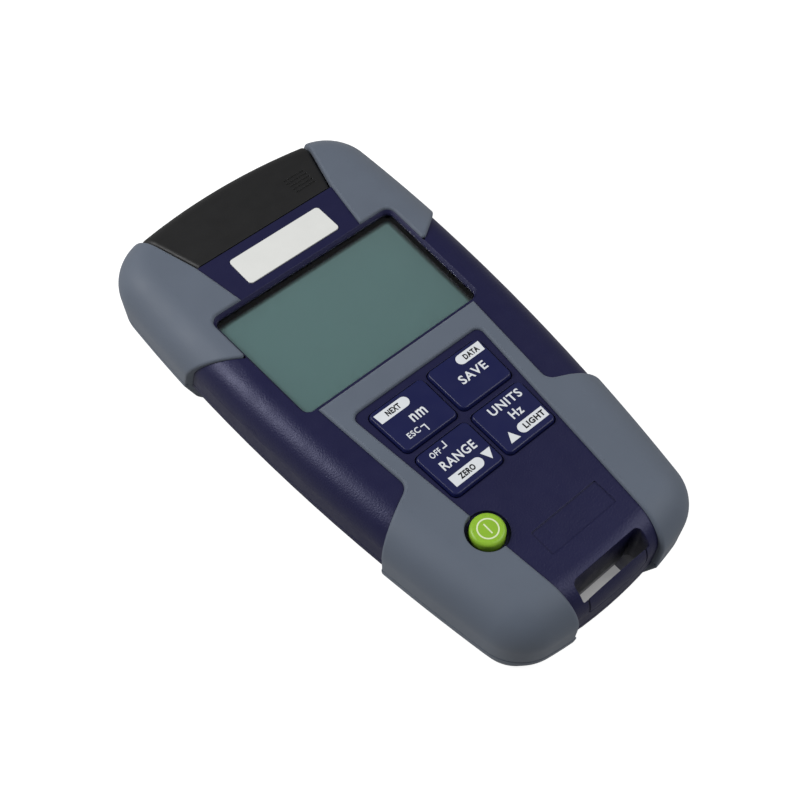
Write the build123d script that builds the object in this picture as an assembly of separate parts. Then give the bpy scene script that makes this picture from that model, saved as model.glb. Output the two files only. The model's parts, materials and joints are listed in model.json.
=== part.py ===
from build123d import *
import os
from math import cos, radians, sqrt, tan

# Handheld optical power meter, millimetres.
# +X is to the right seen on its face, +Y runs to the connector end, +Z points out of the face.
# The origin lies under the middle of the housing, in the plane that the rear rubber stands on.

os.makedirs("parts", exist_ok=True)

# Hard shell, plan
SHELL_HALF_WIDTH = 38.4
WIDEST_Y = 40.0
SIDE_RADIUS = 540.0
TOP_END_Y = 75.0
TOP_END_RADIUS = 140.0
TOP_CORNER_RADIUS = 13.4
LOW_END_Y = -73.8
LOW_END_RADIUS = 110.0
LOW_CORNER_RADIUS = 10.5

# Hard shell, height
PARTING_Z = 14.0
PANEL_Z = 28.4
FRONT_EDGE_RADIUS = 8.0
REAR_LAND = 2.0
REAR_SLOPE = 18.0
REAR_EDGE_RADIUS = 4.0
WALL = 2.4
PARTING_GAP = 0.4
PARTING_DEPTH = 0.7

# Soft overmould on the corners
RUBBER_SIDE = 1.6
RUBBER_FACE = 0.8
RUBBER_SEAT = 1.2
RUBBER_EDGE = 0.75
SHELL_BASE_Z = RUBBER_FACE
BUMPER_FOOT_SIDE = 9.5
BUMPER_FOOT_Y = 22.9
BUMPER_FOOT_SLOPE = 0.65
BUMPER_FOOT_RAKE = 0.35
BUMPER_NECK_STEP = 2.6
REAR_BUMPER_STEP = 0.4
GRIP_ARM_TOP = 4.3
GRIP_ARM_LOW = 1.8
GRIP_SHOULDER_Y = -28.4
GRIP_SCREEN_GAP = 0.6
GRIP_SHOULDER_SLOPE = 0.5
GRIP_SHOULDER_RADIUS = 3.0
KEYPAD_ZONE_Y = -6.7
KEYPAD_BORDER = 3.0
KEYPAD_ZONE_SLOPE = 0.105
KEYPAD_ZONE_RADIUS = 2.0

# Screen
SCREEN_TOP_Y = 37.2
SCREEN_LOW_Y = 0.3
SIDE_RAIL_TOP = 9.8
SIDE_RAIL_LOW = 11.1
SCREEN_CORNER = 2.6
SCREEN_RIM = 0.6
SCREEN_RIM_DEPTH = 0.8
SCREEN_DEPTH = 1.5
WINDOW_LIP = 1.5
WINDOW_THICKNESS = 1.2
LCD_THICKNESS = 1.4
LCD_FRAME_WALL = 1.0

# Keys
KEY_TOP_Z = 29.3
KEYPAD_TOP_Y = -9.3
KEY_LENGTH = 12.9
KEY_ROW_GAP = 2.4
KEY_COLUMN_GAP = 1.9
KEYPAD_HALF_TOP = 16.9
KEYPAD_HALF_LOW = 15.3
KEY_CORNER = 1.2
KEY_DRAFT = 0.3
KEY_EDGE = 0.35
KEY_CLEARANCE = 0.25
KEY_FLANGE = 0.45
KEY_FLANGE_THICKNESS = 1.0
KEY_TRAVEL = 0.8
PLAY = 0.1
PLUNGER_RADIUS = 2.0

# Power button
POWER_X = -15.7
POWER_Y = -48.0
POWER_RADIUS = 4.05
POWER_WELL_RADIUS = 5.1
POWER_TOP_Z = 30.0
POWER_EDGE = 0.9

# Plates on the face
LABEL_Y = 44.35
LABEL_WIDTH = 28.4
LABEL_LENGTH = 9.4
LABEL_CORNER = 1.0
LABEL_SEAT = 0.4
LABEL_THICKNESS = 0.7
PLATE_X = 1.0
PLATE_Y = -57.6
PLATE_WIDTH = 19.6
PLATE_LENGTH = 6.7
PLATE_DEPTH = 0.3

# Lanyard slot
SLOT_HALF_LENGTH = 10.2
SLOT_TOP_Y = -67.85
SLOT_LOW_Y = -72.15
SLOT_CORNER = 1.6
SLOT_LOW_CORNER = 0.4
SLOT_REAR_FLARE = 2.4
SLOT_END_FLARE = 1.8
SLOT_WALL = 1.8
BAR_PANEL_HALF = 8.7
BAR_PANEL_LOW_Z = 19.4
BAR_PANEL_HIGH_Z = 25.6
BAR_SEAM = 0.4
BAR_SEAM_DEPTH = 0.3
BAR_PANEL_CORNER = 1.2

# Connector bay and its cover
COVER_EDGE_Y = 52.4
COVER_SIDE = 16.8
COVER_FLARE = 16.4
COVER_GAP = 0.35
COVER_WALL = 1.8
COVER_CROWN_RADIUS = 400.0
COVER_EDGE_RADIUS = 6.5
COVER_SIDE_ROUND = 1.2
COVER_OPENING = 120.0
COVER_HINGE_STEP = 0.9
COVER_CHEEK = 2.0
PIVOT_Y = 68.0
PIVOT_Z = 5.4
BARREL_RADIUS = 4.6
HINGE_PIN_RADIUS = 1.0
HINGE_PIN_PLAY = 0.05
HINGE_PIN_LENGTH = 6.0
EAR_SWEEP_RADIUS = 11.2
RIB_COUNT = 5
RIB_LENGTH = 6.5
RIB_WIDTH = 0.5
RIB_PITCH = 1.3
RIB_DEPTH = 0.25
RIB_PLACE = (13.2, 56.6)
COVER_HUB_RADIUS = 3.4
CHEEK_HEIGHT = 6.0
CHEEK_SHOULDER = 1.0
END_PLATE_THICKNESS = 1.8

# Optical and data ports
PORT_Z = 14.4
ADAPTER_BORE_RADIUS = 1.26
ADAPTER_FLANGE_RADIUS = 6.2
ADAPTER_FLANGE = 2.0
ADAPTER_BARREL_RADIUS = 4.2
ADAPTER_LENGTH = 11.0
ADAPTER_CHAMFER = 0.5
DIODE_RADIUS = 4.7
DIODE_LENGTH = 4.2
DIODE_RIM = 0.6
DIODE_RIM_THICKNESS = 0.8
LEAD_PITCH = 1.3
LEAD_RADIUS = 0.25
LEAD_LENGTH = 3.5
LEAD_HEIGHT = 1.6
USB_X = 13.5
USB_WIDTH = 7.8
USB_HEIGHT = 2.9
USB_DEPTH = 5.4
USB_SHEET = 0.35
USB_BACK = 1.0
USB_TONGUE_HALF = 1.9
USB_TONGUE = 0.6

# Circuit board
BOARD_Z = 20.4
BOARD_THICKNESS = 1.6
BOARD_SIDE = 11.4
BOARD_TOP_Y = 39.0
BOARD_LOW_Y = -54.0
BOARD_TONGUE_SIDE = 1.9
POST_RADIUS = 2.4
POST_X = 15.0
POST_Y = 30.0
ROOF_RIB = 8.0
MAT_THICKNESS = 0.9
MAT_MARGIN = 2.0
PAD_RIM = 0.6
PAD_RISE = 0.5
DOME_RADIUS = 3.2
DOME_HEIGHT = 0.7

# Cells, bay and door
CELL_RADIUS = 7.1
CELL_LENGTH = 49.2
CELL_BUTTON_RADIUS = 2.7
CELL_BUTTON_LENGTH = 1.0
CELL_PITCH = 15.2
CELL_EDGE = 0.5
BAY_LOW_Y = -61.5
CONTACT_REACH = 1.9
BAY_WALL = 1.6
BAY_LEDGE = 2.2
DOOR_THICKNESS = 2.0
DOOR_GAP = 0.3
DOOR_PIN_RADIUS = 0.5
DOOR_PIN_LENGTH = 1.2
DOOR_NOTCH_RADIUS = 7.0
DOOR_NOTCH_Y = -52.0
DOOR_NOTCH_DEPTH = 1.0
DOOR_RIB_HALF = 3.0
CONTACT_SHEET = 0.5
LEAF_FOOT = 6.0
LEAF_TIP = 1.0
LEAF_HALF_WIDTH = 3.5

# Screws
UPPER_SCREW_SIDE = 13.9
UPPER_SCREW_Y = 44.0
LOWER_SCREW_STEP = 0.7
LOWER_SCREW_Y = -57.5
SCREW_RADIUS = 1.25
SCREW_HEAD_RADIUS = 2.3
SCREW_HEAD = 1.6
SCREW_DEPTH = 8.0
SCREW_SINK = 4.0
BOSS_RADIUS = 3.4
SCREW_HEAD_EDGE = 0.5
SCREW_END_GAP = 1.0
RECESS_REACH = 1.4
RECESS_HALF_WIDTH = 0.25
RECESS_DEPTH = 0.9

# Sizes that follow from those above
UNDERSIDE_Z = PANEL_Z - WALL
SCREEN_HALF_TOP = SHELL_HALF_WIDTH - SIDE_RAIL_TOP
SCREEN_HALF_LOW = SHELL_HALF_WIDTH - SIDE_RAIL_LOW
COVER_HALF_WIDTH = SHELL_HALF_WIDTH - COVER_SIDE
COVER_HINGE_HALF = COVER_HALF_WIDTH + COVER_HINGE_STEP
KEYPAD_ZONE_HALF = KEYPAD_HALF_TOP + KEYPAD_BORDER
GRIP_NECK_TOP = KEYPAD_ZONE_HALF + GRIP_ARM_TOP
GRIP_NECK_LOW = KEYPAD_ZONE_HALF + GRIP_ARM_LOW
REAR_BUMPER_X = COVER_HALF_WIDTH - REAR_BUMPER_STEP
BOARD_HALF = SHELL_HALF_WIDTH - BOARD_SIDE
BOARD_TONGUE_HALF = COVER_HALF_WIDTH - BOARD_TONGUE_SIDE
FLOOR_Z = SHELL_BASE_Z + DOOR_THICKNESS
REAR_TAPER = tan(radians(REAR_SLOPE))
FLARE = tan(radians(COVER_FLARE))
BOARD_TOP_Z = BOARD_Z + BOARD_THICKNESS
WINDOW_TOP_Z = PANEL_Z - SCREEN_DEPTH
WINDOW_Z = WINDOW_TOP_Z - WINDOW_THICKNESS
LCD_Z = WINDOW_Z - PLAY - LCD_THICKNESS
BAY_HALF = CELL_PITCH / 2 + CELL_RADIUS + 2 * PLAY
BAY_LENGTH = CELL_LENGTH + CELL_BUTTON_LENGTH + 2 * CONTACT_REACH
BAY_TOP_Y = BAY_LOW_Y + BAY_LENGTH
CELL_Z = FLOOR_Z + DOOR_GAP + CELL_RADIUS
BAY_ROOF_Z = CELL_Z + CELL_RADIUS + DOOR_GAP
DOOR_HALF = BAY_HALF + BAY_LEDGE
DOOR_TOP_Y = BAY_TOP_Y + BAY_LEDGE
DOOR_LOW_Y = BAY_LOW_Y - BAY_LEDGE
UPPER_SCREW_X = SHELL_HALF_WIDTH - UPPER_SCREW_SIDE
LOWER_SCREW_X = DOOR_HALF + BAY_WALL + BOSS_RADIUS + LOWER_SCREW_STEP
END_PLATE_Y = COVER_EDGE_Y + COVER_GAP
WALL_TILT = 0.6
NEAR = 0.01
FAR = 120.0


def plan(*points):
    """Flat face through the points, in the XY plane."""
    return make_face(Polyline(*points, close=True))


def both_sides(shape):
    """The shape and its mirror image across the middle of the housing."""
    return shape + mirror(shape, about=Plane.YZ)


def block(low, high):
    """Box between two corners."""
    size = [b - a for a, b in zip(low, high)]
    return Pos(*low) * Box(*size, align=(Align.MIN, Align.MIN, Align.MIN))


def rod(radius, start, length, direction):
    """Round rod from a start point along a direction."""
    return Plane(origin=start, z_dir=direction) * extrude(Circle(radius), length)


def outline(grow=0.0):
    """Plan of the housing: four long arcs with rounded corners, grown all round."""
    side_x = SHELL_HALF_WIDTH - SIDE_RADIUS
    right = Pos(side_x, WIDEST_Y) * Rot(0, 0, 180) * Circle(SIDE_RADIUS + grow)
    left = Pos(-side_x, WIDEST_Y) * Circle(SIDE_RADIUS + grow)
    top = Pos(0, TOP_END_Y - TOP_END_RADIUS) * Rot(0, 0, -90) * Circle(TOP_END_RADIUS + grow)
    low = Pos(0, LOW_END_Y + LOW_END_RADIUS) * Rot(0, 0, 90) * Circle(LOW_END_RADIUS + grow)
    face = right & left & top & low
    face = fillet(face.vertices().sort_by(Axis.Y)[-2:], TOP_CORNER_RADIUS + grow)
    return fillet(face.vertices().sort_by(Axis.Y)[:2], LOW_CORNER_RADIUS + grow)


def front_form(grow, face_z):
    """Upper half of the housing, crowned by one large edge radius."""
    body = extrude(Pos(0, 0, PARTING_Z) * outline(grow), face_z - PARTING_Z)
    return fillet(body.faces().sort_by(Axis.Z)[-1].edges(), FRONT_EDGE_RADIUS + grow)


def cover_form(grow):
    """Upper form of the connector cover: it falls gently towards the end, then rounds over."""
    body = extrude(Pos(0, 0, PARTING_Z) * outline(grow), PANEL_Z + grow - PARTING_Z)
    axis_z = PANEL_Z - COVER_CROWN_RADIUS
    crown = rod(COVER_CROWN_RADIUS + grow, (-FAR, COVER_EDGE_Y, axis_z), 2 * FAR, (1, 0, 0))
    body = body & crown & block((-FAR, COVER_EDGE_Y, 0), (FAR, FAR, FAR))
    rims = body.faces().sort_by(Axis.Z)[-1].edges().filter_by(lambda edge: edge.center().Y > END_PLATE_Y)
    return fillet(rims, COVER_EDGE_RADIUS + grow)


def rear_form(grow, base_z):
    """Lower half of the housing: a short straight land, then walls that draw in."""
    land_z = PARTING_Z - REAR_LAND
    inset = REAR_TAPER * (land_z - base_z)
    land = extrude(Pos(0, 0, land_z) * outline(grow), REAR_LAND)
    skirt = loft([Pos(0, 0, land_z) * outline(grow), Pos(0, 0, base_z) * outline(grow - inset)])
    body = land + skirt
    return fillet(body.faces().sort_by(Axis.Z)[0].edges(), REAR_EDGE_RADIUS + grow)


def parting_groove(grow):
    """Thin ring round a form that leaves a shadow line between the two halves."""
    ring = outline(grow + WALL) - outline(grow - PARTING_DEPTH)
    return extrude(Pos(0, 0, PARTING_Z - PARTING_GAP / 2) * ring, PARTING_GAP)


def channel_plan(gap):
    """Plan of the bay between the two ears, taken in by a gap all round."""
    slant = 1 / cos(radians(COVER_FLARE))
    low_y = COVER_EDGE_Y + gap
    low_x = COVER_HALF_WIDTH + FLARE * (low_y - COVER_EDGE_Y) - gap * slant
    top_x = COVER_HALF_WIDTH + FLARE * (FAR - COVER_EDGE_Y) - gap * slant
    return plan((-low_x, low_y), (low_x, low_y), (top_x, FAR), (-top_x, FAR))


def channel(gap, low_z, high_z):
    """The bay between the ears as a solid."""
    return extrude(Pos(0, 0, low_z) * channel_plan(gap), high_z - low_z)


def screen_plan(grow):
    """Plan of the screen opening: wider at the top, with rounded corners."""
    taper = (SCREEN_HALF_TOP - SCREEN_HALF_LOW) / (SCREEN_TOP_Y - SCREEN_LOW_Y)
    top_x = SCREEN_HALF_TOP + grow * (1 + taper)
    low_x = SCREEN_HALF_LOW + grow * (1 - taper)
    top_y = SCREEN_TOP_Y + grow
    low_y = SCREEN_LOW_Y - grow
    face = plan((-low_x, low_y), (low_x, low_y), (top_x, top_y), (-top_x, top_y))
    return fillet(face.vertices(), SCREEN_CORNER + grow)


def zone_half(y):
    """Half-width of the bare panel between the arms of the lower grip."""
    return KEYPAD_ZONE_HALF + KEYPAD_ZONE_SLOPE * (y - KEYPAD_ZONE_Y)


def upper_region(face):
    """Space of the right upper bumper: a plan cut off below by one raked plane."""
    foot_x = SHELL_HALF_WIDTH - BUMPER_FOOT_SIDE
    foot_y = BUMPER_FOOT_Y
    upright = extrude(Pos(0, 0, -FAR) * face, 2 * FAR)
    below = plan(
        (0, foot_y - BUMPER_FOOT_SLOPE * foot_x),
        (FAR, foot_y + BUMPER_FOOT_SLOPE * (FAR - foot_x)),
        (FAR, 2 * FAR),
        (0, 2 * FAR),
    )
    raked = extrude(Pos(0, 0, PANEL_Z) * below, FAR, dir=(0, -BUMPER_FOOT_RAKE, 1), both=True)
    return upright & raked


def front_bumper_region():
    """Space of the right upper bumper on the face, beside the cover and round the screen."""
    screen_x = COVER_HALF_WIDTH - BUMPER_NECK_STEP
    face = plan(
        (COVER_HALF_WIDTH + FLARE * (FAR - COVER_EDGE_Y), FAR),
        (COVER_HALF_WIDTH, COVER_EDGE_Y),
        (screen_x, SCREEN_TOP_Y),
        (screen_x, SCREEN_LOW_Y),
        (FAR, SCREEN_LOW_Y),
        (FAR, FAR),
    )
    return upper_region(face - screen_plan(0))


def rear_bumper_region():
    """Space of the right upper bumper on the rear, clear of the hinge."""
    hinge_x = COVER_HINGE_HALF + COVER_GAP + WALL / 2
    face = plan(
        (hinge_x, FAR),
        (hinge_x, COVER_EDGE_Y),
        (REAR_BUMPER_X, COVER_EDGE_Y - WALL),
        (REAR_BUMPER_X, SCREEN_LOW_Y),
        (FAR, SCREEN_LOW_Y),
        (FAR, FAR),
    )
    return upper_region(face)


def lower_region():
    """Space that the lower grip fills: a band under the screen, two arms and two wings."""
    wing_y = GRIP_SHOULDER_Y - GRIP_SHOULDER_SLOPE * (FAR - GRIP_NECK_LOW)
    top_y = SCREEN_LOW_Y - GRIP_SCREEN_GAP
    outer = plan(
        (-GRIP_NECK_TOP, top_y),
        (GRIP_NECK_TOP, top_y),
        (GRIP_NECK_LOW, GRIP_SHOULDER_Y),
        (FAR, wing_y),
        (FAR, -FAR),
        (-FAR, -FAR),
        (-FAR, wing_y),
        (-GRIP_NECK_LOW, GRIP_SHOULDER_Y),
    )
    shoulders = outer.vertices().filter_by(lambda corner: abs(corner.Y - GRIP_SHOULDER_Y) < NEAR)
    outer = fillet(shoulders, GRIP_SHOULDER_RADIUS)
    inner = plan(
        (-KEYPAD_ZONE_HALF, KEYPAD_ZONE_Y),
        (KEYPAD_ZONE_HALF, KEYPAD_ZONE_Y),
        (zone_half(-FAR), -FAR),
        (-zone_half(-FAR), -FAR),
    )
    inner = fillet(inner.vertices().sort_by(Axis.Y)[-2:], KEYPAD_ZONE_RADIUS)
    return extrude(Pos(0, 0, -FAR) * (outer - inner), 2 * FAR)


def wing_region():
    """Space of the lower grip on the rear, before the cell bay parts its wings."""
    return lower_region() & block((-FAR, -FAR, -FAR), (FAR, GRIP_SHOULDER_Y, FAR))


def bay_surround():
    """Space around the cell bay that stays bare shell."""
    side = DOOR_HALF + BAY_LEDGE
    return block((-side, DOOR_LOW_Y - BAY_WALL, -FAR), (side, FAR, FAR))


def rounded_steps(body):
    """The body with the rims of its cut walls rounded over, away from the parting plane."""
    rims = ShapeList()
    for wall in body.faces().filter_by(GeomType.PLANE):
        if abs(wall.normal_at(wall.center()).Z) < WALL_TILT:
            rims += wall.edges().filter_by(Axis.Z, reverse=True)
    rims = rims.filter_by(lambda edge: abs(edge.center().Z - PARTING_Z) > PARTING_GAP)
    return fillet(rims, RUBBER_EDGE)


def soft_front(region):
    """Rubber that fills a region of the front half."""
    body = rounded_steps(front_form(RUBBER_SIDE, PANEL_Z + RUBBER_FACE) & region)
    body -= front_form(-RUBBER_SEAT, PANEL_Z - RUBBER_SEAT)
    return body - parting_groove(RUBBER_SIDE)


def soft_rear(region):
    """Rubber that fills a region of the rear half, open over the screw heads."""
    body = rounded_steps(rear_form(RUBBER_SIDE, SHELL_BASE_Z - RUBBER_FACE) & region)
    body -= rear_form(-RUBBER_SEAT, SHELL_BASE_Z + RUBBER_SEAT)
    return body - parting_groove(RUBBER_SIDE) - screw_clearance()


def screw_places():
    """The four screw axes in plan."""
    pairs = ((UPPER_SCREW_X, UPPER_SCREW_Y), (LOWER_SCREW_X, LOWER_SCREW_Y))
    return [(side * x, y) for x, y in pairs for side in (-1, 1)]


def key_plan(column, row, grow):
    """Plan of one key; column -1 is left and 1 is right, row 0 is the upper one."""
    pad_low_y = KEYPAD_TOP_Y - 2 * KEY_LENGTH - KEY_ROW_GAP
    slope = (KEYPAD_HALF_TOP - KEYPAD_HALF_LOW) / (KEYPAD_TOP_Y - pad_low_y)
    top_y = KEYPAD_TOP_Y - row * (KEY_LENGTH + KEY_ROW_GAP)
    low_y = top_y - KEY_LENGTH
    outer_top = KEYPAD_HALF_TOP + slope * (top_y - KEYPAD_TOP_Y) + grow
    outer_low = KEYPAD_HALF_TOP + slope * (low_y - KEYPAD_TOP_Y) + grow
    inner = KEY_COLUMN_GAP / 2 - grow
    face = plan(
        (column * inner, top_y + grow),
        (column * outer_top, top_y + grow),
        (column * outer_low, low_y - grow),
        (column * inner, low_y - grow),
    )
    return fillet(face.vertices(), KEY_CORNER + grow)


def key_centre(column, row):
    """Middle of a key in plan."""
    box = key_plan(column, row, 0).bounding_box()
    return box.center().X, box.center().Y


KEYS = {
    "wavelength_key": (-1, 0),
    "store_key": (1, 0),
    "auto_key": (-1, 1),
    "unit_key": (1, 1),
}


def key(column, row):
    """Key cap: drafted head, stem through the panel, flange below it and a plunger."""
    flange_top = UNDERSIDE_Z - PLAY
    flange_low = flange_top - KEY_FLANGE_THICKNESS
    head = loft([
        Pos(0, 0, PANEL_Z) * key_plan(column, row, KEY_DRAFT),
        Pos(0, 0, KEY_TOP_Z) * key_plan(column, row, 0),
    ])
    head = fillet(head.faces().sort_by(Axis.Z)[-1].edges(), KEY_EDGE)
    stem = extrude(Pos(0, 0, flange_low) * key_plan(column, row, KEY_DRAFT), PANEL_Z - flange_low)
    flange = extrude(
        Pos(0, 0, flange_low) * key_plan(column, row, KEY_DRAFT + KEY_FLANGE), KEY_FLANGE_THICKNESS
    )
    x, y = key_centre(column, row)
    plunger = rod(PLUNGER_RADIUS, (x, y, flange_low), DOOR_GAP, (0, 0, -1))
    return head + stem + flange + plunger


def power_button():
    """Round button with a soft edge and a flange below the panel."""
    flange_top = UNDERSIDE_Z - PLAY
    flange_low = flange_top - KEY_FLANGE_THICKNESS
    cap = rod(POWER_RADIUS, (POWER_X, POWER_Y, flange_low), POWER_TOP_Z - flange_low, (0, 0, 1))
    cap = fillet(cap.edges().sort_by(Axis.Z)[-1], POWER_EDGE)
    flange = rod(
        POWER_RADIUS + KEY_FLANGE, (POWER_X, POWER_Y, flange_low), KEY_FLANGE_THICKNESS, (0, 0, 1)
    )
    plunger = rod(PLUNGER_RADIUS, (POWER_X, POWER_Y, flange_low), DOOR_GAP, (0, 0, -1))
    return cap + flange + plunger


def rounded_plate(x, y, low_z, width, length, thickness, corner):
    """Flat plate with rounded corners."""
    return extrude(Pos(x, y, low_z) * RectangleRounded(width, length, corner), thickness)


def slot_plan(grow):
    """Plan of the lanyard slot: round corners towards the panel, tight ones on the bar."""
    face = plan(*slot_corners(SLOT_HALF_LENGTH + grow, SLOT_LOW_Y - grow, SLOT_TOP_Y + grow))
    face = fillet(face.vertices().sort_by(Axis.Y)[-2:], SLOT_CORNER + grow)
    return fillet(face.vertices().sort_by(Axis.Y)[:2], SLOT_LOW_CORNER + grow)


def rear_slot(grow):
    """Lanyard slot in the rear half, flared towards the middle of the housing and at its ends."""
    low_y = SLOT_LOW_Y - grow
    mouth_half = SLOT_HALF_LENGTH + SLOT_END_FLARE + grow
    neck = plan(*slot_corners(SLOT_HALF_LENGTH + grow, low_y, SLOT_TOP_Y + grow))
    mouth = plan(*slot_corners(mouth_half, low_y, SLOT_TOP_Y + SLOT_REAR_FLARE + grow))
    return loft([Pos(0, 0, PARTING_Z) * neck, Pos(0, 0, -1) * mouth])


def slot_corners(half, low_y, top_y):
    """Corners of a rectangle across the middle of the housing."""
    return (-half, low_y), (half, low_y), (half, top_y), (-half, top_y)


def bar_seam():
    """Fine seam round the raised panel on the bar below the lanyard slot."""
    height = BAR_PANEL_HIGH_Z - BAR_PANEL_LOW_Z
    middle_z = (BAR_PANEL_HIGH_Z + BAR_PANEL_LOW_Z) / 2
    panel = RectangleRounded(2 * BAR_PANEL_HALF, height, BAR_PANEL_CORNER)
    ring = offset(panel, BAR_SEAM) - panel
    line = Plane(origin=(0, SLOT_LOW_Y, middle_z), x_dir=(1, 0, 0), z_dir=(0, -1, 0)) * ring
    return extrude(line, FAR) - front_form(-BAR_SEAM_DEPTH, PANEL_Z - BAR_SEAM_DEPTH)


def front_shell():
    """Upper housing half with its openings, seats and bosses."""
    body = front_form(0, PANEL_Z)
    regions = both_sides(front_bumper_region()) + lower_region()
    seat = front_form(0, PANEL_Z) - front_form(-RUBBER_SEAT, PANEL_Z - RUBBER_SEAT)
    body -= seat & regions
    cavity = front_form(-WALL, UNDERSIDE_Z)
    cavity -= channel(-WALL, 0, FAR)
    cavity -= extrude(slot_plan(SLOT_WALL), FAR)
    body -= cavity
    for x, y in screw_places():
        body += rod(BOSS_RADIUS, (x, y, PARTING_Z), FAR, (0, 0, 1)) & cavity
    port_half = BOARD_TONGUE_HALF + PLAY
    body -= block((-port_half, COVER_EDGE_Y - 2 * WALL, 0), (port_half, COVER_EDGE_Y, UNDERSIDE_Z))
    for x, y in screw_places():
        body -= rod(SCREW_RADIUS, (x, y, PARTING_Z), SCREW_DEPTH, (0, 0, 1))
    body -= channel(0, 0, FAR)
    body -= extrude(slot_plan(0), FAR)
    body -= parting_groove(0)
    body -= extrude(screen_plan(-SCREEN_RIM), FAR)
    body -= extrude(screen_plan(WINDOW_LIP + PLAY), WINDOW_TOP_Z)
    body -= loft([
        Pos(0, 0, PANEL_Z) * screen_plan(0),
        Pos(0, 0, PANEL_Z - SCREEN_RIM_DEPTH) * screen_plan(-SCREEN_RIM),
    ])
    for column, row in KEYS.values():
        body -= extrude(key_plan(column, row, KEY_DRAFT + KEY_CLEARANCE), FAR)
    well_z = PANEL_Z - RUBBER_SEAT
    body -= rod(POWER_WELL_RADIUS, (POWER_X, POWER_Y, well_z), FAR, (0, 0, 1))
    body -= rod(POWER_RADIUS + KEY_CLEARANCE, (POWER_X, POWER_Y, 0), FAR, (0, 0, 1))
    body -= rounded_plate(0, LABEL_Y, PANEL_Z - LABEL_SEAT, LABEL_WIDTH, LABEL_LENGTH, FAR, LABEL_CORNER)
    body -= rounded_plate(
        PLATE_X, PLATE_Y, PANEL_Z - PLATE_DEPTH, PLATE_WIDTH, PLATE_LENGTH, FAR, PLATE_DEPTH
    )
    return body - bar_seam()


def rear_shell():
    """Lower housing half with the cell bay, its door seat, posts and ears."""
    body = rear_form(0, SHELL_BASE_Z)
    regions = both_sides(rear_bumper_region()) + (wing_region() - bay_surround())
    seat = rear_form(0, SHELL_BASE_Z) - rear_form(-RUBBER_SEAT, SHELL_BASE_Z + RUBBER_SEAT)
    body -= seat & regions
    ear_half = COVER_HINGE_HALF + COVER_GAP
    cavity = rear_form(-WALL, FLOOR_Z)
    cavity -= block((-ear_half - WALL, END_PLATE_Y, 0), (ear_half + WALL, FAR, FAR))
    cavity -= rear_slot(SLOT_WALL)
    body -= cavity
    bay_wall = BAY_LEDGE + BAY_WALL
    body += block(
        (-BAY_HALF - bay_wall, BAY_LOW_Y - bay_wall, SHELL_BASE_Z + REAR_EDGE_RADIUS / 4),
        (BAY_HALF + bay_wall, BAY_TOP_Y + bay_wall, BAY_ROOF_Z + BAY_WALL),
    )
    for x, y in screw_places():
        body += rod(BOSS_RADIUS, (x, y, 0), FAR, (0, 0, 1)) & cavity
    for side in (-1, 1):
        body += rod(POST_RADIUS, (side * POST_X, POST_Y, FLOOR_Z), BOARD_Z - FLOOR_Z, (0, 0, 1))
    body += block((-BAY_HALF, BAY_LOW_Y, BAY_ROOF_Z), (BAY_HALF, BAY_LOW_Y + ROOF_RIB, BOARD_Z))
    body -= block((-BAY_HALF, BAY_LOW_Y, 0), (BAY_HALF, BAY_TOP_Y, BAY_ROOF_Z))
    body -= block(
        (-DOOR_HALF - DOOR_GAP, DOOR_LOW_Y - DOOR_GAP, 0),
        (DOOR_HALF + DOOR_GAP, DOOR_TOP_Y + DOOR_GAP, FLOOR_Z),
    )
    hinge_y = DOOR_TOP_Y - DOOR_THICKNESS / 2
    hinge_z = SHELL_BASE_Z + DOOR_THICKNESS / 2
    socket = DOOR_HALF + DOOR_PIN_LENGTH + DOOR_GAP
    body -= rod(DOOR_PIN_RADIUS + HINGE_PIN_PLAY, (-socket, hinge_y, hinge_z), 2 * socket, (1, 0, 0))
    for x, y in screw_places():
        body -= rod(SCREW_RADIUS + PLAY, (x, y, -1), FAR, (0, 0, 1))
        body -= rod(SCREW_HEAD_RADIUS + KEY_CLEARANCE, (x, y, -1), SCREW_SINK + 1, (0, 0, 1))
    body -= block((-ear_half, END_PLATE_Y, FLOOR_Z), (ear_half, FAR, FAR))
    barrel_room = BARREL_RADIUS + COVER_GAP
    body -= rod(barrel_room, (-ear_half, PIVOT_Y, PIVOT_Z), 2 * ear_half, (1, 0, 0))
    body -= block((-ear_half, PIVOT_Y, -1), (ear_half, FAR, FAR))
    body -= opened_wall_room(ear_half)
    pin_end = COVER_HINGE_HALF - COVER_CHEEK + HINGE_PIN_LENGTH + PLAY
    bore = HINGE_PIN_RADIUS + HINGE_PIN_PLAY
    body -= rod(bore, (-pin_end, PIVOT_Y, PIVOT_Z), 2 * pin_end, (1, 0, 0))
    body -= rear_slot(0)
    body -= parting_groove(0)
    return body


def opened_wall_room(half):
    """Space of the cover's rear wall when it is fully open, with the floor's edge as its stop."""
    turn = Pos(0, PIVOT_Y, PIVOT_Z) * Rot(-COVER_OPENING - REAR_SLOPE, 0, 0)
    return turn * block((-half, 0, 0), (half, BARREL_RADIUS + COVER_GAP, FAR))


def screw_clearance():
    """Passages for the screw heads through the rear rubber."""
    holes = [rod(SCREW_HEAD_RADIUS + 2 * KEY_CLEARANCE, (x, y, -1), PARTING_Z - 1, (0, 0, 1))
             for x, y in screw_places()]
    return Part() + holes


def end_plate():
    """Upright wall behind the cover that carries the ports."""
    plate = block(
        (-COVER_HALF_WIDTH, END_PLATE_Y, FLOOR_Z),
        (COVER_HALF_WIDTH, END_PLATE_Y + END_PLATE_THICKNESS, UNDERSIDE_Z),
    )
    plate -= rod(ADAPTER_BARREL_RADIUS, (0, 0, PORT_Z), FAR, (0, 1, 0))
    low_z = BOARD_Z - USB_HEIGHT
    plate -= block((USB_X - USB_WIDTH / 2, 0, low_z), (USB_X + USB_WIDTH / 2, FAR, BOARD_Z))
    return plate


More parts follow.
